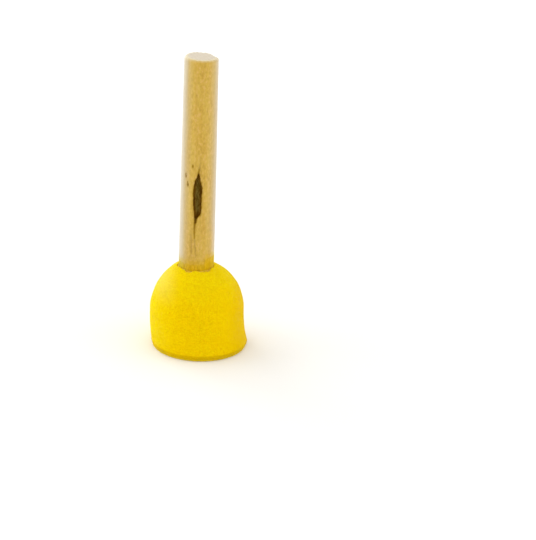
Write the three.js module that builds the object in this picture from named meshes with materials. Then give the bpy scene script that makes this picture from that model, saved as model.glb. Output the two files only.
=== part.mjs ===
// Foam sponge brush: a stipple brush with a domed foam head glued on the end
// of a round wooden handle.
//
// Units are millimetres, +Z is up. The origin is the centre of the flat
// working face, which the brush stands on; the handle runs up along +Z.
//
// Pieces:
//   foam_head      open-cell foam dome with a blind bore for the handle
//   glue_layer     cured adhesive cup between the handle's end and the bore
//   wooden_handle  round wooden handle, slightly thinner at its free end

import * as THREE from 'three';

// ---------------------------------------------------------------- dimensions

// Whole brush
const OVERALL_HEIGHT = 100;      // working face to free end of the handle
const FIT_GAP = 0.3;             // clearance kept between neighbouring solids

// Foam head
const HEAD_HEIGHT = 28;          // working face to the mouth of the bore
const FACE_RADIUS = 15.62;       // flat working face
const WALL_RADIUS = 16.0;        // widest, just above the working face
// Outline from the rim of the working face to the shoulder: [radius, height]
const HEAD_OUTLINE = [
  [FACE_RADIUS, 0],
  [15.8, 0.4],
  [WALL_RADIUS, 1.3],
  [15.96, 2.6],
  [15.85, 4.2],
  [15.77, 6.4],
  [15.7, 9.0],
  [15.62, 12.6],
  [15.48, 14.8],
  [15.16, 16.2],
  [14.65, 17.9],
  [14.1, 19.6],
  [13.45, 21.1],
  [12.6, 22.6],
  [11.6, 23.9],
  [10.5, 25.1],
  [9.4, 26.1],
  [8.4, 26.9],
  [7.5, 27.55],
];

// Handle
const HANDLE_RADIUS = 5.8;       // 12 mm round stock sanded down, at and below the mouth
const HANDLE_TIP_RADIUS = 5.42;  // at the free end
const HANDLE_SEAT_Z = 13.2;      // lower end, inside the foam
const SEAT_CHAMFER = 0.5;
const TIP_CHAMFER_R = 0.82;     // rounded edge of the free end, radially
const TIP_CHAMFER_Z = 1.1;      // and along the axis

// Adhesive
const GLUE_WALL = 0.5;           // film thickness round the handle
const GLUE_FLOOR = 0.6;          // film thickness under the handle's end
const GLUE_BEAD_RISE = 0.5;      // squeezed-out bead above the mouth
const GLUE_BEAD_LIP = 0.12;      // radial width left at the top of the bead

// Tessellation
const HEAD_SEGMENTS = 64;
const STEM_SEGMENTS = 48;

// ---------------------------------------------------------------- derived

const GLUE_INNER = HANDLE_RADIUS + FIT_GAP;
const GLUE_OUTER = GLUE_INNER + GLUE_WALL;
const BORE_RADIUS = GLUE_OUTER + FIT_GAP;
const GLUE_TOP_OF_FLOOR = HANDLE_SEAT_Z - FIT_GAP;
const GLUE_BOTTOM = GLUE_TOP_OF_FLOOR - GLUE_FLOOR;
const BORE_FLOOR_Z = GLUE_BOTTOM - FIT_GAP;

// ---------------------------------------------------------------- helpers

// Closed body of revolution about +Z from a [radius, height] profile that
// starts and ends on the axis.
function revolve(profile, segments) {
  const points = profile.map(([r, z]) => new THREE.Vector2(r, z));
  const geometry = new THREE.LatheGeometry(points, segments);
  geometry.rotateX(Math.PI / 2); // the lathe turns about Y; stand it on Z
  return geometry;
}

function piece(name, geometry, material) {
  const mesh = new THREE.Mesh(geometry, material);
  mesh.name = name;
  return mesh;
}

// ---------------------------------------------------------------- materials

const foamMaterial = new THREE.MeshStandardMaterial({
  color: 0xf0ca03, roughness: 0.95, metalness: 0,
});
const woodMaterial = new THREE.MeshStandardMaterial({
  color: 0xd4b466, roughness: 0.72, metalness: 0,
});
const glueMaterial = new THREE.MeshStandardMaterial({
  color: 0xd9b45a, roughness: 0.35, metalness: 0,
});

// ---------------------------------------------------------------- foam head

// Up the outside from the centre of the working face, over the dome to the
// mouth, down the bore and back to the axis on the bore's floor.
const foamHead = piece('foam_head', revolve([
  [0, 0],
  ...HEAD_OUTLINE,
  [BORE_RADIUS, HEAD_HEIGHT],
  [BORE_RADIUS, BORE_FLOOR_Z],
  [0, BORE_FLOOR_Z],
], HEAD_SEGMENTS), foamMaterial);

// ---------------------------------------------------------------- adhesive

// A thin cup: floor under the handle's end, wall round its seated length and
// a small bead that stands just proud of the mouth.
const glueLayer = piece('glue_layer', revolve([
  [0, GLUE_BOTTOM],
  [GLUE_OUTER, GLUE_BOTTOM],
  [GLUE_OUTER, HEAD_HEIGHT - 0.2],
  [GLUE_INNER + GLUE_BEAD_LIP, HEAD_HEIGHT + GLUE_BEAD_RISE],
  [GLUE_INNER, HEAD_HEIGHT + GLUE_BEAD_RISE],
  [GLUE_INNER, GLUE_TOP_OF_FLOOR],
  [0, GLUE_TOP_OF_FLOOR],
], STEM_SEGMENTS), glueMaterial);

// ---------------------------------------------------------------- handle

const woodenHandle = piece('wooden_handle', revolve([
  [0, HANDLE_SEAT_Z],
  [HANDLE_RADIUS - SEAT_CHAMFER, HANDLE_SEAT_Z],
  [HANDLE_RADIUS, HANDLE_SEAT_Z + SEAT_CHAMFER],
  [HANDLE_RADIUS, HEAD_HEIGHT],
  [HANDLE_TIP_RADIUS, OVERALL_HEIGHT - TIP_CHAMFER_Z],
  [HANDLE_TIP_RADIUS - TIP_CHAMFER_R * 0.12, OVERALL_HEIGHT - TIP_CHAMFER_Z * 0.58],
  [HANDLE_TIP_RADIUS - TIP_CHAMFER_R * 0.42, OVERALL_HEIGHT - TIP_CHAMFER_Z * 0.22],
  [HANDLE_TIP_RADIUS - TIP_CHAMFER_R, OVERALL_HEIGHT],
  [0, OVERALL_HEIGHT],
], STEM_SEGMENTS), woodMaterial);

// ---------------------------------------------------------------- assembly

const head = new THREE.Group();
head.name = 'head';
head.add(foamHead);

const stem = new THREE.Group();
stem.name = 'stem';
stem.add(woodenHandle, glueLayer);

const brush = new THREE.Group();
brush.name = 'foam_sponge_brush';
brush.add(head, stem);

export default brush;
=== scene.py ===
import math

import bpy
import numpy as np
from mathutils import Matrix, Vector, kdtree, noise


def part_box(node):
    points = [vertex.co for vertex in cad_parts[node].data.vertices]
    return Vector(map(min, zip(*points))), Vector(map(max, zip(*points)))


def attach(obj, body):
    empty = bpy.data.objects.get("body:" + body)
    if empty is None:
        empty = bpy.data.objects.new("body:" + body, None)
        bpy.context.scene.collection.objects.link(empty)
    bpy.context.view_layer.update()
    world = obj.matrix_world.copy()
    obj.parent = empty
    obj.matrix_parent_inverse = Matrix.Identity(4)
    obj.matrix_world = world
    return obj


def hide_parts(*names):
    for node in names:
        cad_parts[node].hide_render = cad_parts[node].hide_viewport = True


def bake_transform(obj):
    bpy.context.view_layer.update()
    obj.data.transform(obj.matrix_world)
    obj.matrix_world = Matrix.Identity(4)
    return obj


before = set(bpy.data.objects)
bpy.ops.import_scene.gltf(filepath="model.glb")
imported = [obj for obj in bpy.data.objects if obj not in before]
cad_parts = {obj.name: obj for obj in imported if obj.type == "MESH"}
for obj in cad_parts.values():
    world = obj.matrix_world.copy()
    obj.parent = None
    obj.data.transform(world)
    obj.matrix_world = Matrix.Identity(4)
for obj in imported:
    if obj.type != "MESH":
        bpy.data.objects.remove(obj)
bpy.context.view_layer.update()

# Everything below is built in millimetres and turned into metres at the end of each piece.
MM = 0.001

# ------------------------------------------------------------------ places from the frame

foam_lo, foam_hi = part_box("foam_head")
hand_lo, hand_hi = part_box("wooden_handle")
glue_lo, glue_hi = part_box("glue_layer")

HEAD_H = foam_hi.z / MM              # working face to the mouth of the bore
TOTAL_H = hand_hi.z / MM             # working face to the free end
SEAT_Z = hand_lo.z / MM              # lower end of the handle, inside the foam
HAND_R = (hand_hi.x - hand_lo.x) / 2 / MM
TIP_R = HAND_R - 0.38                # radius at the free end
TIP_ROUND_R, TIP_ROUND_Z = 0.82, 1.10  # its rounded edge
WALL_R = (foam_hi.x - foam_lo.x) / 2 / MM

rng = np.random.default_rng(41)


# ------------------------------------------------------------------ small helpers

def smooth(a, b, x):
    t = np.clip((np.asarray(x, float) - a) / (b - a), 0.0, 1.0)
    return t * t * (3 - 2 * t)


def bump(x, mid, width):
    return np.exp(-((np.asarray(x, float) - mid) / width) ** 2)


def fbm(points, scale, octaves=3, seed=0.0):
    """Gradient noise at each point, about -1 to 1."""
    out = np.empty(len(points))
    off = Vector((seed * 7.31, seed * 3.17, seed * 5.53))
    for i, p in enumerate(points):
        out[i] = noise.fractal(Vector(p) * scale + off, 1.0, 2.0, octaves)
    return out


def spline(points, per):
    """Catmull-Rom through points, with per steps in each span."""
    p = np.asarray(points, float)
    p = np.vstack([2 * p[0] - p[1], p, 2 * p[-1] - p[-2]])
    out = []
    for i in range(1, len(p) - 2):
        t = np.linspace(0, 1, per, endpoint=False)[:, None]
        a, b, c, d = p[i - 1], p[i], p[i + 1], p[i + 2]
        out.append(0.5 * (2 * b + (c - a) * t + (2 * a - 5 * b + 4 * c - d) * t**2 + (3 * b - a - 3 * c + d) * t**3))
    out.append(p[-2][None])
    return np.vstack(out)


def mesh_object(name, verts, faces):
    me = bpy.data.meshes.new(name)
    me.from_pydata([tuple(v) for v in verts], [], [tuple(f) for f in faces])
    me.validate()
    me.update()
    ob = bpy.data.objects.new(name, me)
    bpy.context.scene.collection.objects.link(ob)
    return ob


def lathe(profile, n, wobble=None):
    """Closed body of revolution. profile is (r, z) rows, first and last on the axis."""
    verts, faces = [], []
    rings = []
    for k, (r, z) in enumerate(profile):
        if r < 1e-6:
            rings.append([len(verts)])
            verts.append((0.0, 0.0, z))
            continue
        ring = []
        for j in range(n):
            t = 2 * math.pi * j / n
            x, y, zz = r * math.cos(t), r * math.sin(t), z
            if wobble:
                x, y, zz = wobble(k, t, x, y, zz)
            ring.append(len(verts))
            verts.append((x, y, zz))
        rings.append(ring)
    for a, b in zip(rings, rings[1:]):
        for j in range(n):
            i = (j + 1) % n
            if len(a) == 1:
                faces.append((a[0], b[i], b[j]))
            elif len(b) == 1:
                faces.append((a[j], a[i], b[0]))
            else:
                faces.append((a[j], a[i], b[i], b[j]))
    return verts, faces


def coords(ob):
    co = np.empty(len(ob.data.vertices) * 3)
    ob.data.vertices.foreach_get("co", co)
    return co.reshape(-1, 3)


def set_coords(ob, co):
    ob.data.vertices.foreach_set("co", np.asarray(co, np.float32).ravel())
    ob.data.update()


def normals(ob):
    no = np.empty(len(ob.data.vertices) * 3)
    ob.data.vertices.foreach_get("normal", no)
    return no.reshape(-1, 3)


def point_value(ob, name, values):
    a = ob.data.attributes.new(name, "FLOAT", "POINT")
    a.data.foreach_set("value", np.asarray(values, np.float32))


def point_vector(ob, name, values):
    a = ob.data.attributes.new(name, "FLOAT_VECTOR", "POINT")
    a.data.foreach_set("vector", np.asarray(values, np.float32).ravel())


def shade_smooth(ob):
    ob.data.polygons.foreach_set("use_smooth", [True] * len(ob.data.polygons))
    ob.data.update()


def outward(ob):
    """Turns the faces out, by the sign of the enclosed volume."""
    me = ob.data
    me.calc_loop_triangles()
    co = coords(ob)
    tri = np.array([t.vertices[:] for t in me.loop_triangles])
    vol = np.einsum("ij,ij->i", co[tri[:, 0]], np.cross(co[tri[:, 1]], co[tri[:, 2]])).sum()
    if vol < 0:
        me.flip_normals()


def to_metres(ob):
    set_coords(ob, coords(ob) * MM)


# ------------------------------------------------------------------ camera

CAM_POS = Vector((0.0, -0.6500, 0.28867))
YAW, PITCH, ROLL = math.radians(2.103), math.radians(21.919), math.radians(-2.253)
FOCAL = 2109.4 / 536.0 * 36.0

fw = Vector((math.sin(YAW) * math.cos(PITCH), math.cos(YAW) * math.cos(PITCH), -math.sin(PITCH)))
rt = fw.cross(Vector((0, 0, 1))).normalized()
up = rt.cross(fw)
cr, sr = math.cos(ROLL), math.sin(ROLL)
right, upward = cr * rt - sr * up, sr * rt + cr * up
cam_data = bpy.data.cameras.new("camera")
cam_data.sensor_fit = "HORIZONTAL"
cam_data.sensor_width = 36.0
cam_data.lens = FOCAL
cam_data.clip_start = 0.01
cam_data.clip_end = 50.0
camera = bpy.data.objects.new("camera", cam_data)
camera.matrix_world = Matrix((
    (right.x, upward.x, -fw.x, CAM_POS.x),
    (right.y, upward.y, -fw.y, CAM_POS.y),
    (right.z, upward.z, -fw.z, CAM_POS.z),
    (0, 0, 0, 1),
))
bpy.context.scene.collection.objects.link(camera)
bpy.context.scene.camera = camera


# ------------------------------------------------------------------ node helpers

class Nodes:
    def __init__(self, name):
        self.mat = bpy.data.materials.new(name)
        self.mat.use_nodes = True
        self.nt = self.mat.node_tree
        self.nt.nodes.clear()
        self.out = self.nt.nodes.new("ShaderNodeOutputMaterial")
        self.bsdf = self.nt.nodes.new("ShaderNodeBsdfPrincipled")
        self.nt.links.new(self.bsdf.outputs["BSDF"], self.out.inputs["Surface"])

    def put(self, socket, value):
        if isinstance(value, bpy.types.NodeSocket):
            self.nt.links.new(value, socket)
        else:
            socket.default_value = value

    def node(self, kind, **settings):
        n = self.nt.nodes.new(kind)
        for k, v in settings.items():
            setattr(n, k, v)
        return n

    def attribute(self, name, output="Fac"):
        n = self.node("ShaderNodeAttribute", attribute_name=name)
        return n.outputs[output]

    def mapping(self, vector, scale=(1, 1, 1), location=(0, 0, 0), rotation=(0, 0, 0)):
        n = self.node("ShaderNodeMapping")
        self.put(n.inputs["Vector"], vector)
        n.inputs["Scale"].default_value = scale
        n.inputs["Location"].default_value = location
        n.inputs["Rotation"].default_value = rotation
        return n.outputs["Vector"]

    def noise(self, vector, scale=1.0, detail=3.0, rough=0.5, distortion=0.0, output="Fac"):
        n = self.node("ShaderNodeTexNoise")
        self.put(n.inputs["Vector"], vector)
        n.inputs["Scale"].default_value = scale
        n.inputs["Detail"].default_value = detail
        n.inputs["Roughness"].default_value = rough
        n.inputs["Distortion"].default_value = distortion
        return n.outputs[output]

    def voronoi(self, vector, scale=1.0, feature="F1", randomness=1.0, output="Distance"):
        n = self.node("ShaderNodeTexVoronoi", feature=feature)
        self.put(n.inputs["Vector"], vector)
        n.inputs["Scale"].default_value = scale
        n.inputs["Randomness"].default_value = randomness
        return n.outputs[output]

    def math(self, op, a, b=0.0, c=0.0, clamp=False):
        n = self.node("ShaderNodeMath", operation=op, use_clamp=clamp)
        self.put(n.inputs[0], a)
        self.put(n.inputs[1], b)
        if len(n.inputs) > 2:
            self.put(n.inputs[2], c)
        return n.outputs[0]

    def remap(self, value, a, b, c=0.0, d=1.0, kind="SMOOTHSTEP"):
        n = self.node("ShaderNodeMapRange", interpolation_type=kind)
        self.put(n.inputs["Value"], value)
        n.inputs["From Min"].default_value = a
        n.inputs["From Max"].default_value = b
        n.inputs["To Min"].default_value = c
        n.inputs["To Max"].default_value = d
        return n.outputs["Result"]

    def mix(self, fac, a, b, blend="MIX"):
        n = self.node("ShaderNodeMix", data_type="RGBA", blend_type=blend)
        self.put(n.inputs["Factor"], fac)
        self.put(n.inputs["A"], a if isinstance(a, bpy.types.NodeSocket) else (*a, 1.0))
        self.put(n.inputs["B"], b if isinstance(b, bpy.types.NodeSocket) else (*b, 1.0))
        return n.outputs["Result"]

    def separate(self, vector):
        n = self.node("ShaderNodeSeparateXYZ")
        self.put(n.inputs[0], vector)
        return n.outputs

    def combine(self, x, y, z):
        n = self.node("ShaderNodeCombineXYZ")
        for s, v in zip(n.inputs, (x, y, z)):
            self.put(s, v)
        return n.outputs[0]

    def bump(self, height, strength, distance, normal=None):
        n = self.node("ShaderNodeBump")
        n.inputs["Strength"].default_value = strength
        n.inputs["Distance"].default_value = distance
        self.put(n.inputs["Height"], height)
        if normal is not None:
            self.put(n.inputs["Normal"], normal)
        return n.outputs["Normal"]


# ------------------------------------------------------------------ foam head

# Outline of the head, from the rim of the working face to the mouth: (radius, height)
OUTLINE = [
    (15.50, 0.0), (15.62, 0.18), (15.74, 0.50), (15.84, 1.00), (16.06, 1.32), (16.08, 1.55), (16.01, 2.1), (15.96, 3.0),
    (15.89, 4.2), (15.83, 6.2), (15.78, 9.0), (15.72, 11.6), (15.68, 13.4), (15.58, 14.8), (15.29, 16.2), (14.80, 17.9),
    (14.24, 19.6), (13.56, 21.1), (12.60, 22.55), (11.60, 23.9), (10.50, 25.1), (9.40, 26.1), (8.40, 26.88), (7.45, 27.55),
]
FOAM_BORE_R = HAND_R + 0.30      # the foam grips the glued handle
FOAM_FLOOR = SEAT_Z - 0.75       # the foam under the handle's end
DISH = 1.1                       # the working face is slightly hollow


def foam_profile():
    dish = [(r, DISH * (1 - smooth(0.0, 13.6, r)) * 0.999 + 0.0) for r in (0.0, 2, 4, 6, 8, 10, 12, 13.6)]
    dish = [(float(r), float(z)) for r, z in dish]
    edge = [(14.6, 0.0)]
    outer = [tuple(p) for p in spline(OUTLINE, 3)]
    lip = [(6.95, 27.87), (6.45, 28.12), (6.15, 28.10), (FOAM_BORE_R + 0.02, 27.85)]
    bore = [(FOAM_BORE_R, z) for z in np.linspace(27.3, FOAM_FLOOR, 12)]
    return dish + edge + outer + lip + bore + [(FOAM_BORE_R * 0.5, FOAM_FLOOR), (0.0, FOAM_FLOOR)]


def foam_lean(z):
    """How far the middle of the head sits to the right of the handle's axis at height z: the soft head spreads to the right at its rim."""
    zs = np.array([0.0, 1.3, 2.2, 3.2, 4.2, 5.1, 6.7, 9.0, 11.2, 13.4, 17.6, 20.4, 22.3, 24.2, 26.3, 28.1])
    cs = np.array([1.54, 1.62, 1.50, 1.32, 1.17, 1.04, 0.86, 0.69, 0.61, 0.60, 0.64, 0.64, 0.60, 0.50, 0.31, 0.06])
    return np.interp(z, zs, cs)


def make_foam():
    verts, faces = lathe(foam_profile(), 128)
    ob = mesh_object("foam_sponge", verts, faces)
    outward(ob)
    mod = ob.modifiers.new("remesh", "REMESH")
    mod.mode = "VOXEL"
    mod.voxel_size = 0.265
    mod.adaptivity = 0.0
    dg = bpy.context.evaluated_depsgraph_get()
    me = bpy.data.meshes.new_from_object(ob.evaluated_get(dg))
    ob.modifiers.clear()
    old = ob.data
    ob.data = me
    bpy.data.meshes.remove(old)
    me.name = "foam_sponge"
    co = coords(ob)

    r = np.hypot(co[:, 0], co[:, 1])
    z = co[:, 2]
    inside = (r < FOAM_BORE_R + 0.12) & (z > FOAM_FLOOR - 0.2) & (z < HEAD_H - 0.55)
    free = 1.0 - smooth(0, 1, inside.astype(float))
    # the last stretch towards the wood stays close to it
    near_wood = 1 - smooth(FOAM_BORE_R + 0.1, FOAM_BORE_R + 1.5, r)
    near_wood = np.where(z > HEAD_H - 2.0, near_wood, 0.0)

    # rest shape: the soft head is not quite round
    theta = np.arctan2(co[:, 1], co[:, 0])
    grip = smooth(FOAM_BORE_R + 0.2, FOAM_BORE_R + 4.0, r) * free
    co[:, 0] += foam_lean(z) * grip
    slow = fbm(co / 16.0, 1.0, 2, seed=1.0)
    swell = fbm(co / 6.5, 1.0, 2, seed=2.0)
    no = normals(ob)
    low = 0.09 * slow + 0.05 * swell
    floorward = smooth(0.0, 1.4, z)
    co += no * (low * free * (1 - near_wood) * np.maximum(floorward, 0.35))[:, None]

    # open cells: each cell is a shallow pit between raised ribs
    set_coords(ob, co)
    no = normals(ob)
    step = 0.62
    seeds = []
    lo, hi = co.min(0) - 1, co.max(0) + 1
    nx, ny, nz = np.ceil((hi - lo) / step).astype(int)
    grid = np.stack(np.meshgrid(np.arange(nx), np.arange(ny), np.arange(nz), indexing="ij"), -1).reshape(-1, 3)
    cells = lo + (grid + rng.random(grid.shape)) * step
    # keep the seeds close to the skin
    skin = kdtree.KDTree(len(co[::7]))
    for i, p in enumerate(co[::7]):
        skin.insert(p, i)
    skin.balance()
    rr = np.hypot(cells[:, 0], cells[:, 1])
    maybe = (rr < WALL_R + 2.0) & (cells[:, 2] < HEAD_H + 1.0)
    cells = cells[maybe]
    keep = [c for c in cells if skin.find(c)[2] < 1.15]
    tree = kdtree.KDTree(len(keep))
    for i, p in enumerate(keep):
        tree.insert(p, i)
    tree.balance()
    gap = np.empty(len(co))
    tint = np.empty(len(co))
    shade = rng.random(len(keep))
    for i, p in enumerate(co):
        a, b = tree.find_n(p, 2)
        gap[i] = b[2] - a[2]
        tint[i] = shade[a[1]]
    pit = smooth(0.03, 0.30, gap)                     # 0 on a rib, 1 in a pit
    depth = 0.05 + 0.13 * tint
    amount = free * (1 - 0.6 * near_wood)
    co -= no * (pit * depth * amount - 0.045 * amount)[:, None]
    # the mouth: an uneven lip that clings to the wood
    turn = np.arctan2(co[:, 1], co[:, 0])
    around = np.stack([np.cos(turn) * 2.6, np.sin(turn) * 2.6, 0 * turn + 2.0], 1)
    wave = fbm(around, 1.0, 3, seed=12.0)
    rad = np.maximum(np.hypot(co[:, 0], co[:, 1]), 1e-6)
    lip = (1 - smooth(FOAM_BORE_R + 0.2, FOAM_BORE_R + 1.5, rad)) * smooth(HEAD_H - 1.2, HEAD_H - 0.4, co[:, 2])
    co[:, 2] += lip * (0.10 + 0.55 * wave)
    pull = lip * np.clip(0.22 + 0.35 * wave, 0.0, 0.34)
    co[:, :2] *= (1 - pull / rad)[:, None]
    # the working face never reaches below the floor
    co[:, 2] = np.maximum(co[:, 2], 0.0)
    set_coords(ob, co)
    outer = smooth(13.8, 14.8, np.hypot(co[:, 0] - foam_lean(co[:, 2]), co[:, 1]))
    # under: the band just above the rim, to be painted darker: painted shade under the bulge of the rim
    point_value(ob, "under", (1 - smooth(1.80, 2.12, co[:, 2])) * outer)
    # foot: the lowest half millimetre of the wall, to be painted lighter: painted highlight at the foot of the wall
    point_value(ob, "foot_painted_highlight", (1 - smooth(0.25, 0.80, co[:, 2])) * outer)
    point_value(ob, "pit", pit * free)
    point_value(ob, "tint", tint)
    point_vector(ob, "rest", co * MM)
    outward(ob)
    shade_smooth(ob)
    to_metres(ob)
    return ob


def foam_material():
    m = Nodes("foam")
    rest = m.attribute("rest", "Vector")
    pit = m.attribute("pit")
    tint = m.attribute("tint")
    under = m.attribute("under")
    p = m.mapping(rest, scale=(1000, 1000, 1000))      # millimetres
    fine = m.voronoi(p, 3.0, "F1")                       # the smaller cells, about 0.3 mm
    fine_pit = m.remap(fine, 0.20, 0.66)
    fibre = m.voronoi(p, 4.6, "DISTANCE_TO_EDGE")
    rib = m.remap(fibre, 0.0, 0.12, 1.0, 0.0)
    slow = m.noise(p, 0.16, 2.0, 0.5)
    mottle = m.noise(p, 1.9, 2.0, 0.6)
    colour = m.mix(m.remap(slow, 0.35, 0.65), (0.945, 0.660, 0.0009), (0.960, 0.690, 0.0012))
    colour = m.mix(m.remap(mottle, 0.36, 0.64), colour, (0.885, 0.580, 0.0007))
    # painted shade and highlight: the cell pits and finer pores painted darker, deeper in some cells than others, and
    # the ribs between them painted lighter
    colour = m.mix(m.math("MULTIPLY", pit, m.math("MULTIPLY_ADD", tint, 0.34, 0.05)), colour, (0.80, 0.470, 0.0005))
    colour = m.mix(m.math("MULTIPLY", fine_pit, 0.12), colour, (0.82, 0.48, 0.0005))
    colour = m.mix(m.math("MULTIPLY", rib, 0.16), colour, (0.98, 0.76, 0.003))
    xyz = m.separate(p)
    # painted highlight: the dome top and the left flank painted paler and more lemon, where the light falls most
    lemon_painted_highlight = m.math("ADD", m.math("MULTIPLY", m.remap(xyz[2], 16.0, 27.0), 0.75), m.math("MULTIPLY", m.remap(xyz[0], -6.0, -14.5), 0.80), clamp=True)
    colour = m.mix(lemon_painted_highlight, colour, m.mix(1.0, colour, (0.975, 1.085, 3.0), "MULTIPLY"))
    # painted highlight: a pale, bluer bloom painted on the upper left of the head
    bloom_painted_highlight = m.math("MULTIPLY", m.remap(xyz[0], -5.0, -13.0), m.remap(xyz[2], 16.0, 26.0))
    colour = m.mix(m.math("MULTIPLY", bloom_painted_highlight, 0.60), colour, (0.89, 0.700, 0.130))
    # painted shade: the right flank of the head painted darker and deeper in colour
    colour = m.mix(m.remap(xyz[0], 9.5, 16.0), colour, m.mix(1.0, colour, (0.93, 0.890, 0.5), "MULTIPLY"))
    # painted shade: the band under the bulge of the rim darkened
    colour = m.mix(m.math("MULTIPLY", under, 0.90), colour, (0.70, 0.450, 0.0010))
    # painted highlight: the foot of the wall painted lighter
    colour = m.mix(m.math("MULTIPLY", m.attribute("foot_painted_highlight"), 0.85), colour, (0.86, 0.640, 0.0200))
    m.put(m.bsdf.inputs["Base Color"], colour)
    m.bsdf.inputs["Roughness"].default_value = 1.0
    m.bsdf.inputs["Specular IOR Level"].default_value = 0.0
    m.bsdf.inputs["Sheen Weight"].default_value = 0.24
    m.bsdf.inputs["Sheen Roughness"].default_value = 0.16
    m.bsdf.inputs["Sheen Tint"].default_value = (1.0, 0.96, 0.72, 1.0)
    m.bsdf.inputs["Subsurface Weight"].default_value = 0.2
    m.bsdf.inputs["Subsurface Radius"].default_value = (1.0, 0.62, 0.10)
    m.bsdf.inputs["Subsurface Scale"].default_value = 0.0012
    height = m.math("SUBTRACT", m.math("MULTIPLY", rib, 0.6), m.math("MULTIPLY", fine_pit, 1.0))
    m.put(m.bsdf.inputs["Normal"], m.bump(height, 0.55, 0.00012))
    return m.mat


# ------------------------------------------------------------------ wooden handle

FRONT = -math.pi / 2          # the side of the handle that faces the camera


def handle_radius(z):
    """A slight taper to the free end, with the stock a touch fuller in the middle."""
    r = HAND_R + (TIP_R - HAND_R) * np.clip((z - HEAD_H) / (TOTAL_H - HEAD_H), 0, 1)
    return r + 0.06 * smooth(HEAD_H, HEAD_H + 3.0, z) + 0.08 * bump(z, 66.0, 24.0) * smooth(HEAD_H, HEAD_H + 12.0, z)


# Bark pocket on the front: its left and right edges as offsets from the middle of the front, by height
POCKET_Z = np.array([44.9, 45.6, 46.3, 47.0, 47.7, 48.3, 49.0, 50.4, 51.8, 53.2, 54.6, 56.0, 57.3, 58.0, 58.7, 59.4, 60.1, 60.8, 61.5, 62.2])
POCKET_L = np.array([-0.99, -0.98, -1.06, -1.17, -1.23, -1.25, -1.29, -1.44, -1.57, -1.55, -1.62, -1.67, -1.54, -1.43, -1.34, -1.27, -0.95, -0.52, -0.38, -0.10])
POCKET_R = np.array([-0.49, -0.18, -0.14, 0.09, 0.63, 1.14, 1.22, 1.25, 1.23, 1.25, 1.32, 1.37, 1.37, 1.29, 1.03, 0.79, 0.68, 0.53, 0.40, 0.10])


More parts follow.
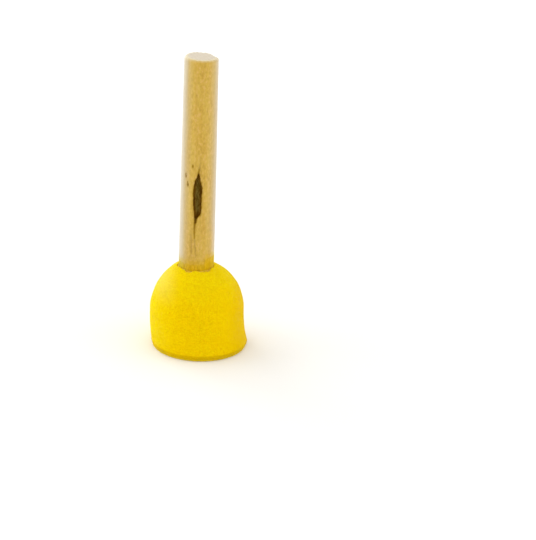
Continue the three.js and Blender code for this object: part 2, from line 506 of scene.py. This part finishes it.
def pocket_fields(s, z):
    """Depth (mm), darkness and core (0 to 1) of the bark pocket, and its cracks and small flecks, at arc offset s and height z."""
    ragged = fbm(np.stack([s * 1.3, z * 0.8, 0 * z + 5], 1), 1.0, 3, seed=9.0)
    l = np.interp(z, POCKET_Z, POCKET_L, left=0, right=0)
    r = np.interp(z, POCKET_Z, POCKET_R, left=0, right=0)
    mid, half = (l + r) / 2, np.maximum((r - l) / 2, 0.05)
    u = np.abs(s - mid) / half + 0.10 * ragged
    inz = (z > 44.9) & (z < 62.2)
    span = smooth(44.9, 47.4, z) * (1 - smooth(60.4, 62.2, z))
    # the bark thins out to a brown stain at its lower tip
    ins = np.where(inz, 1 - smooth(0.80, 1.14, u), 0.0) * np.interp(z, [44.9, 45.6, 46.6, 47.6], [0.56, 0.60, 0.72, 1.0])
    bowl = np.where(inz, np.clip(1 - u**2, 0, 1), 0.0) * span
    core = np.where(inz, 1 - smooth(0.25, 0.80, u), 0.0) * smooth(47.5, 50.0, z) * (1 - smooth(58.5, 61.5, z))
    depth = 0.55 * bowl**0.6 * (ins > 0)
    # a stained halo of wood round the pocket
    halo = np.where((z > 44.0) & (z < 63.5), np.exp(-((np.maximum(u - 0.95, 0) * half / 0.32) ** 2)), 0.0)
    halo *= smooth(43.5, 46.5, z) * (1 - smooth(61.0, 64.0, z)) * 0.36
    # crack running down from the pocket
    tail_s = np.interp(z, [33.5, 35.0, 36.9, 39.0, 41.1, 43.2, 44.2, 45.3], [-0.34, -0.42, -0.63, -0.79, -0.90, -0.93, -0.88, -0.76])
    tail_w = np.interp(z, [33.5, 38.0, 43.0, 45.4], [0.26, 0.28, 0.32, 0.42])
    tail = np.where((z > 32.0) & (z < 46.2), np.exp(-(((s - tail_s) / tail_w) ** 2)), 0.0)
    tail *= np.interp(z, [32.0, 33.5, 36.0, 38.5, 40.5, 42.5, 44.0, 45.2], [0.0, 0.22, 0.30, 0.32, 0.56, 0.66, 0.74, 0.86])
    # a second, fainter line beside it
    two_s = np.interp(z, [32.5, 36.8, 38.8, 40.4, 43.0], [-1.80, -1.80, -1.92, -2.08, -1.98])
    two = np.where((z > 31.0) & (z < 43.6), np.exp(-(((s - two_s) / 0.34) ** 2)), 0.0)
    two *= np.interp(z, [31.0, 33.5, 36.0, 40.0, 41.5, 43.6], [0.0, 0.18, 0.30, 0.32, 0.16, 0.0])
    # the stained line above the tip
    top_s = np.interp(z, [61.5, 62.5, 63.2, 63.9, 64.6, 65.3, 66.0, 70.0], [-0.05, 0.01, 0.13, 0.23, 0.29, 0.42, 0.50, 0.40])
    top_w = np.interp(z, [61.5, 63.0, 66.0], [0.44, 0.38, 0.26])
    top = np.where((z > 61.0) & (z < 70.5), np.exp(-(((s - top_s) / top_w) ** 2)), 0.0)
    top *= np.interp(z, [61.0, 62.2, 63.2, 64.6, 66.0, 70.5], [0.85, 0.74, 0.50, 0.34, 0.16, 0.0])
    # a brown patch right of the pocket's lower tip
    patch = 0.66 * np.exp(-(((s - 0.72) / 0.52) ** 2) - ((z - 47.9) / 0.62) ** 2)
    flecks = np.zeros_like(s)
    for fs, fz, ws, wz, a in (
        (-1.97, 64.60, 0.27, 0.62, 0.80), (-4.60, 61.35, 0.30, 0.42, 0.70), (-4.50, 60.70, 0.30, 0.52, 0.86),
        (-3.62, 57.95, 0.33, 0.62, 0.92), (-3.78, 58.75, 0.28, 0.40, 0.62), (1.75, 60.6, 0.22, 0.35, 0.36),
        (2.10, 58.4, 0.20, 0.50, 0.30), (2.35, 83.0, 0.18, 0.45, 0.34), (-1.2, 88.5, 0.18, 0.40, 0.30),
    ):
        flecks = np.maximum(flecks, a * np.exp(-(((s - fs) / ws) ** 2) - ((z - fz) / wz) ** 2))
    flecks = np.maximum(flecks, patch)
    line = np.maximum(np.maximum(tail, two), np.maximum(top, flecks))
    depth = np.maximum(depth, 0.16 * line)
    return depth, ins, core, np.maximum(line, halo)


def make_handle():
    n = 200
    rows = 330
    zs = np.linspace(SEAT_Z + 0.5, TOTAL_H - TIP_ROUND_Z - 0.05, rows)
    prof = [(0.0, SEAT_Z), (2.0, SEAT_Z), (4.0, SEAT_Z), (HAND_R - 0.6, SEAT_Z), (HAND_R - 0.15, SEAT_Z + 0.2)]
    prof += [(float(handle_radius(z)), float(z)) for z in zs]
    # softened free end
    for a in np.linspace(0.06, 1.0, 14):
        ang = a * math.pi / 2
        prof.append((TIP_R + 0.06 - (TIP_ROUND_R + 0.06) * (1 - math.cos(ang)), TOTAL_H - TIP_ROUND_Z * (1 - math.sin(ang))))
    for r in np.linspace(TIP_R - TIP_ROUND_R - 0.12, 0.3, 24):
        prof.append((float(r), TOTAL_H))
    prof.append((0.0, TOTAL_H))
    verts, faces = lathe(prof, n)
    ob = mesh_object("handle_dowel", verts, faces)
    outward(ob)
    co = coords(ob)
    r = np.hypot(co[:, 0], co[:, 1])
    z = co[:, 2]
    theta = np.arctan2(co[:, 1], co[:, 0])
    d = (theta - FRONT + math.pi) % (2 * math.pi) - math.pi
    s = d * handle_radius(z)
    radial = np.stack([np.cos(theta), np.sin(theta), np.zeros_like(z)], 1)
    side = smooth(0.4, 1.0, (r / np.maximum(handle_radius(z), 1e-6) - 0.8) * 5) * (z < TOTAL_H - 0.25)

    # the stock is not perfectly round or straight-sided
    ring = np.stack([np.cos(theta) * 2.2, np.sin(theta) * 2.2, z / 30.0], 1)
    uneven = fbm(ring, 1.0, 2, seed=3.0)
    grain = fbm(np.stack([np.cos(theta) * 16, np.sin(theta) * 16, z / 9.0], 1), 1.0, 3, seed=4.0)
    fine = fbm(np.stack([np.cos(theta) * 42, np.sin(theta) * 42, z / 4.0], 1), 1.0, 2, seed=5.0)
    seen = smooth(HEAD_H - 4, HEAD_H - 1, z)
    off = (0.045 * uneven * seen + 0.014 * grain + 0.010 * fine) * side
    depth, dark, core, line = pocket_fields(s, z)
    rough = fbm(np.stack([s * 2.3, z * 0.9, 0 * z], 1), 1.0, 3, seed=6.0)
    depth = depth * (1 + 0.35 * rough)
    # the stock's unevenness moves the skin out and in, and the pocket and the marks are pressed into it
    co = co + radial * ((off - depth * side))[:, None]

    # sawn end: slightly out of square, with saw marks and a few nicks in its edge
    top = smooth(TOTAL_H - 1.2, TOTAL_H - 0.2, z)
    saw = 0.030 * np.sin((co[:, 0] * 0.9 + co[:, 1] * 0.35) * 5.2) * smooth(0, 4.0, r)
    tilt = -0.045 * (co[:, 0] + 3.2)
    nick = 0.12 * np.clip(fbm(np.stack([np.cos(theta) * 3.2, np.sin(theta) * 3.2, 0 * z + 9], 1), 1.0, 3, seed=7.0) - 0.05, 0, 1)
    edge = smooth(TIP_R - 1.6, TIP_R - 0.5, r)
    # a shallow chip on the right, towards the back
    chip = np.exp(-(((theta - 0.40) / 0.55) ** 2)) * smooth(TIP_R - 2.2, TIP_R - 0.3, r)
    co[:, 2] += top * (np.minimum(tilt + saw, 0.0) - nick * edge * 1.4 - 0.34 * chip)
    co -= radial * (top * nick * edge * 0.8)[:, None]
    set_coords(ob, co)
    point_value(ob, "bark", dark * side)
    point_value(ob, "core", core * side)
    point_value(ob, "line", line * side)
    # the wood just above the foam is stained in short dashes by the adhesive that soaked into it
    dash = fbm(np.stack([np.cos(theta) * 7.5, np.sin(theta) * 7.5, z / 3.2], 1), 1.0, 3, seed=11.0)
    soak = np.clip((dash - 0.02) * 3.2, 0, 1) * (1 - smooth(HEAD_H + 0.6, HEAD_H + 3.2, z)) * side
    point_value(ob, "soak", soak)
    # and painted yellow, less and less up the wood and higher on the right flank: painted yellow bounce light from the
    # foam
    right_flank_painted_light = smooth(1.8, 4.0, s) * (1 - smooth(2.0, 2.6, d))
    point_value(ob, "painted_foam_bounce", np.interp(z + 0.45 * dash - 2.1 * right_flank_painted_light, [HEAD_H - 1, HEAD_H + 0.4, HEAD_H + 1.6, HEAD_H + 3.0, HEAD_H + 5.0], [1.0, 0.95, 0.75, 0.40, 0.0]) * side)
    flat = 1 - smooth(TIP_R - TIP_ROUND_R - 0.10, TIP_R - TIP_ROUND_R + 0.38, r)
    point_value(ob, "endgrain", flat * (z > TOTAL_H - 1.2))
    # the arris round it, painted lighter: a painted highlight on the rounded edge
    point_value(ob, "arris_painted_highlight", np.exp(-(((r - (TIP_R - 0.66)) / 0.44) ** 2)) * smooth(TOTAL_H - 0.95, TOTAL_H - 0.55, z))
    shade_smooth(ob)
    to_metres(ob)
    return ob


def wood_material(name, sheen, tint=(0.95, 0.98, 1.0)):
    m = Nodes(name)
    tc = m.node("ShaderNodeTexCoord")
    p = m.mapping(tc.outputs["Object"], scale=(1000, 1000, 1000))   # millimetres
    bark = m.attribute("bark")
    core = m.attribute("core")
    line = m.attribute("line")
    soak = m.attribute("soak")
    end = m.attribute("endgrain")
    painted_foam_bounce = m.attribute("painted_foam_bounce")
    arris_painted_highlight = m.attribute("arris_painted_highlight")

    # growth rings: shells about a pith that lies well outside the dowel, wandering along the length
    wander = m.noise(m.mapping(p, scale=(0.10, 0.10, 0.018)), 1.0, 2.0, 0.5)
    fine_wander = m.noise(m.mapping(p, scale=(0.7, 0.7, 0.07), location=(3, 1, 4)), 1.0, 3.0, 0.6)
    xyz = m.separate(p)
    dx = m.math("ADD", xyz[0], 31.0)
    dy = m.math("ADD", xyz[1], -17.0)
    dist = m.math("SQRT", m.math("ADD", m.math("MULTIPLY", dx, dx), m.math("MULTIPLY", dy, dy)))
    dist = m.math("ADD", dist, m.math("MULTIPLY", wander, 5.5))
    dist = m.math("ADD", dist, m.math("MULTIPLY", fine_wander, 1.4))
    saw = m.math("FRACT", m.math("MULTIPLY", dist, 0.42))
    ring = m.remap(saw, 0.35, 0.95)
    ring = m.math("MULTIPLY", ring, m.remap(saw, 1.0, 0.95))

    streak = m.noise(m.mapping(p, scale=(0.85, 0.85, 0.045), location=(5, 2, 7)), 1.0, 3.0, 0.55)
    mottle = m.noise(m.mapping(p, scale=(1.35, 1.35, 0.75), location=(2, 6, 1)), 1.0, 2.0, 0.6)
    fibre = m.noise(m.mapping(p, scale=(4.2, 4.2, 0.70), location=(1, 8, 2)), 1.0, 3.0, 0.6)
    pore = m.noise(m.mapping(p, scale=(3.4, 3.4, 1.15), location=(9, 4, 6)), 1.0, 2.0, 0.5)
    pore = m.remap(pore, 0.56, 0.70)
    blotch = m.noise(m.mapping(p, scale=(0.35, 0.35, 0.13), location=(7, 3, 9)), 1.0, 2.0, 0.5)

    pale, warm, deep = (0.610, 0.392, 0.032), (0.570, 0.330, 0.017), (0.450, 0.232, 0.007)
    colour = m.mix(m.math("MULTIPLY", m.remap(streak, 0.34, 0.66), 0.7), pale, warm)
    colour = m.mix(m.math("MULTIPLY", m.remap(mottle, 0.50, 0.68), 0.62), colour, (0.445, 0.252, 0.007))
    colour = m.mix(m.math("MULTIPLY", m.remap(mottle, 0.50, 0.32), 0.70), colour, (0.700, 0.430, 0.100))
    colour = m.mix(m.math("MULTIPLY", m.remap(fibre, 0.46, 0.70), 0.22), colour, deep)
    colour = m.mix(m.math("MULTIPLY", m.remap(blotch, 0.42, 0.68), 0.35), colour, (0.600, 0.400, 0.040))
    colour = m.mix(m.math("MULTIPLY", ring, 0.12), colour, deep)
    colour = m.mix(m.math("MULTIPLY", pore, 0.24), colour, (0.350, 0.175, 0.004))
    # painted highlight: the right flank of the stick painted lighter and bluer
    right_flank_painted_light = m.math("MULTIPLY", m.remap(xyz[0], 1.0, 3.4), m.remap(xyz[2], 44.0, 56.0, 0.35, 1.0))
    colour = m.mix(right_flank_painted_light, colour, m.mix(1.0, colour, (1.05, 1.06, 1.18), "MULTIPLY"))
    # both sides painted paler and greyer, the left more than the right: painted sheen along the sides of the stick
    side_painted_sheen_noise = m.noise(m.mapping(p, scale=(0.8, 0.8, 0.06), location=(4, 9, 2)), 1.0, 2.0, 0.5)
    side_painted_sheen = m.math("ADD", m.math("MULTIPLY", m.remap(xyz[0], -1.8, -5.7), 0.62), m.math("MULTIPLY", m.remap(xyz[0], 1.8, 5.7), 0.34))
    side_painted_sheen = m.math("MULTIPLY", side_painted_sheen, m.remap(side_painted_sheen_noise, 0.25, 0.60, 0.75, 1.15))
    side_painted_sheen = m.math("MULTIPLY", side_painted_sheen, m.remap(xyz[1], 1.2, 4.6, 1.0, 0.35))
    side_painted_sheen = m.math("MULTIPLY", side_painted_sheen, m.math("SUBTRACT", 1.0, m.math("MULTIPLY", m.remap(xyz[0], 0.5, 2.0), m.remap(xyz[2], 46.0, 38.0, 0.0, 0.85))))
    colour = m.mix(side_painted_sheen, colour, (0.465, 0.385, 0.222))

    # both edges of the stick painted paler still, the left more than the right: painted sheen where the sides turn away
    edge_painted_sheen = m.math("ADD", m.math("MULTIPLY", m.remap(xyz[0], -3.6, -5.9), 0.42), m.math("MULTIPLY", m.remap(xyz[0], 4.0, 5.9), 0.35))
    edge_painted_sheen = m.math("MULTIPLY", edge_painted_sheen, m.remap(xyz[2], 30.0, 34.0))
    edge_painted_sheen = m.math("MULTIPLY", edge_painted_sheen, m.remap(xyz[1], 1.2, 4.2, 1.0, 0.0))
    colour = m.mix(1.0, colour, (0.000, 0.005, 0.012), "ADD")
    colour = m.mix(edge_painted_sheen, colour, (0.66, 0.60, 0.52))

    # sawn end: paler, drier, rings seen as arcs with open pores
    dots = m.voronoi(p, 3.2, "F1")
    dots = m.remap(dots, 0.10, 0.26, 1.0, 0.0)
    endc = m.mix(m.math("MULTIPLY", ring, 0.45), (0.570, 0.465, 0.315), (0.500, 0.390, 0.235))
    endc = m.mix(m.math("MULTIPLY", dots, 0.25), endc, (0.400, 0.300, 0.170))
    patch = m.noise(p, 0.55, 3.0, 0.6)
    endc = m.mix(m.math("MULTIPLY", m.remap(patch, 0.42, 0.70), 0.55), endc, (0.520, 0.410, 0.280))
    colour = m.mix(end, colour, endc)
    # painted highlight on the arris
    colour = m.mix(m.math("MULTIPLY", arris_painted_highlight, 0.85), colour, (0.690, 0.580, 0.330))
    # the stretch next to the foam, painted yellow: painted bounce light from the foam
    colour = m.mix(m.math("MULTIPLY", painted_foam_bounce, 0.94), colour, m.mix(1.0, colour, (1.05, 1.00, 0.01), "MULTIPLY"))

    # stains, the dashes above the foam, and the bark itself: dark at its rim, greyer in the middle
    colour = m.mix(m.math("MULTIPLY", line, 0.95, clamp=True), colour, (0.090, 0.032, 0.001))
    colour = m.mix(m.math("MULTIPLY", soak, 0.40, clamp=True), colour, (0.360, 0.195, 0.006))
    noise1 = m.noise(m.mapping(p, scale=(1.6, 1.6, 0.50), location=(4, 4, 4)), 1.0, 3.0, 0.6)
    grit = m.noise(m.mapping(p, scale=(3.2, 3.2, 1.3)), 1.0, 3.0, 0.65)
    rim = m.mix(m.remap(noise1, 0.38, 0.62), (0.068, 0.024, 0.0004), (0.120, 0.052, 0.0022))
    middle = m.mix(m.remap(noise1, 0.36, 0.60), (0.082, 0.044, 0.003), (0.140, 0.092, 0.016))
    barkc = m.mix(core, rim, middle)
    barkc = m.mix(m.math("MULTIPLY", m.remap(grit, 0.50, 0.72), m.math("MULTIPLY_ADD", core, 0.40, 0.15)), barkc, (0.215, 0.145, 0.034))
    colour = m.mix(m.remap(bark, 0.10, 0.85), colour, barkc)

    m.put(m.bsdf.inputs["Base Color"], colour)
    rough = m.math("ADD", 0.36, m.math("MULTIPLY", fibre, 0.16))
    rough = m.math("ADD", rough, m.math("MULTIPLY", m.math("MAXIMUM", bark, end), 0.35), clamp=True)
    m.put(m.bsdf.inputs["Roughness"], rough)
    m.bsdf.inputs["Specular IOR Level"].default_value = {1.0: 0.3, 0.95: 0.15}.get(sheen, 0.0)
    m.bsdf.inputs["Sheen Weight"].default_value = 0.5 * sheen
    m.bsdf.inputs["Sheen Roughness"].default_value = 0.50
    m.bsdf.inputs["Sheen Tint"].default_value = (*tint, 1.0)
    height = m.math("SUBTRACT", m.math("MULTIPLY", fibre, 0.5), m.math("MULTIPLY", pore, 0.9))
    height = m.math("SUBTRACT", height, m.math("MULTIPLY", ring, 0.25))
    n1 = m.bump(height, 0.25, 0.00008)
    gritty = m.math("MULTIPLY", grit, bark)
    m.put(m.bsdf.inputs["Normal"], m.bump(gritty, 0.9, 0.00035, n1))
    return m.mat


# ------------------------------------------------------------------ adhesive

def make_glue():
    """The cured layer: a film round the seated wood, with an uneven edge where it was squeezed out of the mouth."""
    ri, ro = HAND_R + 0.02, HAND_R + 0.28
    prof = [
        (0.0, SEAT_Z - 0.65), (3.0, SEAT_Z - 0.65), (ro, SEAT_Z - 0.65), (ro, 20.0), (ro, 26.6), (ro, 27.4),
        (ro, 27.75), (ro, 27.98), (ro - 0.04, 28.12), (ri + 0.12, 28.24), (ri + 0.04, 28.30),
        (ri, 28.26), (ri, 27.0), (ri, 20.0), (ri, SEAT_Z - 0.05), (3.0, SEAT_Z - 0.05), (0.0, SEAT_Z - 0.05),
    ]
    bead = range(6, 12)

    def wobble(k, t, x, y, z):
        if k in bead:
            q = noise.noise(Vector((math.cos(t) * 1.9, math.sin(t) * 1.9, 3.3)))
            q2 = noise.noise(Vector((math.cos(t) * 5.5, math.sin(t) * 5.5, 8.1)))
            lift = 0.34 * q + 0.22 * q2 - 0.10
            spread = 0.16 * max(q, -0.4) + 0.10 * q2
            r = math.hypot(x, y)
            if 6 < k < 11:
                rr = max(r + spread * (1.0 if k in (7, 8) else 0.6), HAND_R + 0.05)
                x, y = x * rr / r, y * rr / r
            z += lift * (0.4 if k < 8 else 1.0)
        return x, y, z

    verts, faces = lathe(prof, 144, wobble)
    ob = mesh_object("glue_film", verts, faces)
    outward(ob)
    shade_smooth(ob)
    to_metres(ob)
    return ob


def glue_material():
    m = Nodes("glue")
    tc = m.node("ShaderNodeTexCoord")
    p = m.mapping(tc.outputs["Object"], scale=(1000, 1000, 1000))
    cloud = m.noise(p, 0.9, 3.0, 0.55)
    colour = m.mix(m.remap(cloud, 0.38, 0.66), (0.58, 0.34, 0.008), (0.74, 0.48, 0.020))
    speck = m.remap(m.noise(p, 3.6, 2.0, 0.5), 0.60, 0.72)
    colour = m.mix(m.math("MULTIPLY", speck, 0.5), colour, (0.84, 0.60, 0.05))
    m.put(m.bsdf.inputs["Base Color"], colour)
    m.put(m.bsdf.inputs["Roughness"], m.remap(cloud, 0.3, 0.7, 0.40, 0.60))
    m.bsdf.inputs["Specular IOR Level"].default_value = 0.25
    m.bsdf.inputs["Subsurface Weight"].default_value = 0.3
    m.bsdf.inputs["Subsurface Radius"].default_value = (1.0, 0.6, 0.2)
    m.bsdf.inputs["Subsurface Scale"].default_value = 0.0008
    m.put(m.bsdf.inputs["Normal"], m.bump(m.noise(p, 2.2, 3.0, 0.5), 0.4, 0.00010))
    return m.mat


# ------------------------------------------------------------------ build the brush

foam = make_foam()
foam.data.materials.append(foam_material())
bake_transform(foam)
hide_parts("foam_head")

handle = make_handle()
handle.data.materials.append(wood_material("wood", 1.0))
handle.data.materials.append(wood_material("wood_bark", 0.0))
# wood_by_foam and wood_near_foam are copies of the wood with a yellow-tinted sheen, for the faces next to the foam:
# painted yellow reflection from the foam
handle.data.materials.append(wood_material("wood_by_foam", 0.9, (0.97, 0.95, 0.18)))
handle.data.materials.append(wood_material("wood_near_foam", 0.95, (0.96, 0.965, 0.60)))


def per_vertex(ob, name):
    v = np.empty(len(ob.data.vertices))
    ob.data.attributes[name].data.foreach_get("value", v)
    return v


dark = np.maximum(per_vertex(handle, "bark") / 0.35, per_vertex(handle, "line") / 0.42)
low = per_vertex(handle, "painted_foam_bounce")
for face in handle.data.polygons:
    if max(dark[v] for v in face.vertices) > 1.0:
        face.material_index = 1
    # faces next to the foam take the copies with the yellow-tinted sheen: painted reflection from the foam
    elif max(low[v] for v in face.vertices) > 0.60:
        face.material_index = 2
    elif max(low[v] for v in face.vertices) > 0.30:
        face.material_index = 3
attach(handle, "handle")
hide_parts("wooden_handle")

glue = make_glue()
glue.data.materials.append(glue_material())
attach(glue, "handle")
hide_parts("glue_layer")

# ------------------------------------------------------------------ floor, light


def stage_material():
    m = Nodes("stage")
    tc = m.node("ShaderNodeTexCoord")
    cloud = m.noise(tc.outputs["Object"], 1.3, 2.0, 0.5)
    colour = m.mix(cloud, (0.892, 0.884, 0.862), (0.907, 0.899, 0.882))
    m.put(m.bsdf.inputs["Base Color"], colour)
    # far from the brush the floor is lit until it matches the background
    xyz = m.separate(tc.outputs["Object"])
    away = m.math("SQRT", m.math("ADD", m.math("MULTIPLY", xyz[0], xyz[0]), m.math("MULTIPLY", xyz[1], xyz[1])))
    m.bsdf.inputs["Emission Color"].default_value = (1.0, 1.0, 1.0, 1.0)
    m.put(m.bsdf.inputs["Emission Strength"], m.remap(away, 0.7, 2.6, 0.0, 0.22))
    m.bsdf.inputs["Roughness"].default_value = 0.85
    m.bsdf.inputs["Specular IOR Level"].default_value = 0.2
    return m.mat


floor = mesh_object("floor", [(-6, -6, 0), (6, -6, 0), (6, 6, 0), (-6, 6, 0)], [(0, 1, 2, 3)])
floor.data.materials.append(stage_material())

world = bpy.data.worlds.new("studio")
world.use_nodes = True
bg = world.node_tree.nodes["Background"]
bg.inputs["Color"].default_value = (1.0, 0.995, 0.985, 1.0)
bg.inputs["Strength"].default_value = 0.985
bpy.context.scene.world = world


def softbox(name, pos, target, size, power, colour=(1, 1, 1)):
    light = bpy.data.lights.new(name, "AREA")
    light.shape = "RECTANGLE"
    light.size, light.size_y = size
    light.energy = power
    light.color = colour
    ob = bpy.data.objects.new(name, light)
    ob.location = pos
    d = Vector(target) - Vector(pos)
    ob.rotation_euler = d.to_track_quat("-Z", "Y").to_euler()
    bpy.context.scene.collection.objects.link(ob)
    return ob


softbox("key", (-1.10, 0.10, 0.60), (0, 0, 0.05), (0.9, 0.9), 4.0, (0.94, 0.99, 1.0))
softbox("back", (-0.75, 0.95, 0.45), (0, 0, 0.05), (0.7, 0.7), 5.0, (0.90, 0.97, 1.0))
softbox("side", (1.10, -0.15, 0.60), (0, 0, 0.05), (0.9, 0.9), 2.0, (1.0, 0.965, 0.88))

bpy.context.scene.view_settings.view_transform = "Standard"
bpy.context.scene.view_settings.look = "None"
bpy.context.scene.view_settings.exposure = 0.0
bpy.context.scene.view_settings.gamma = 1.0
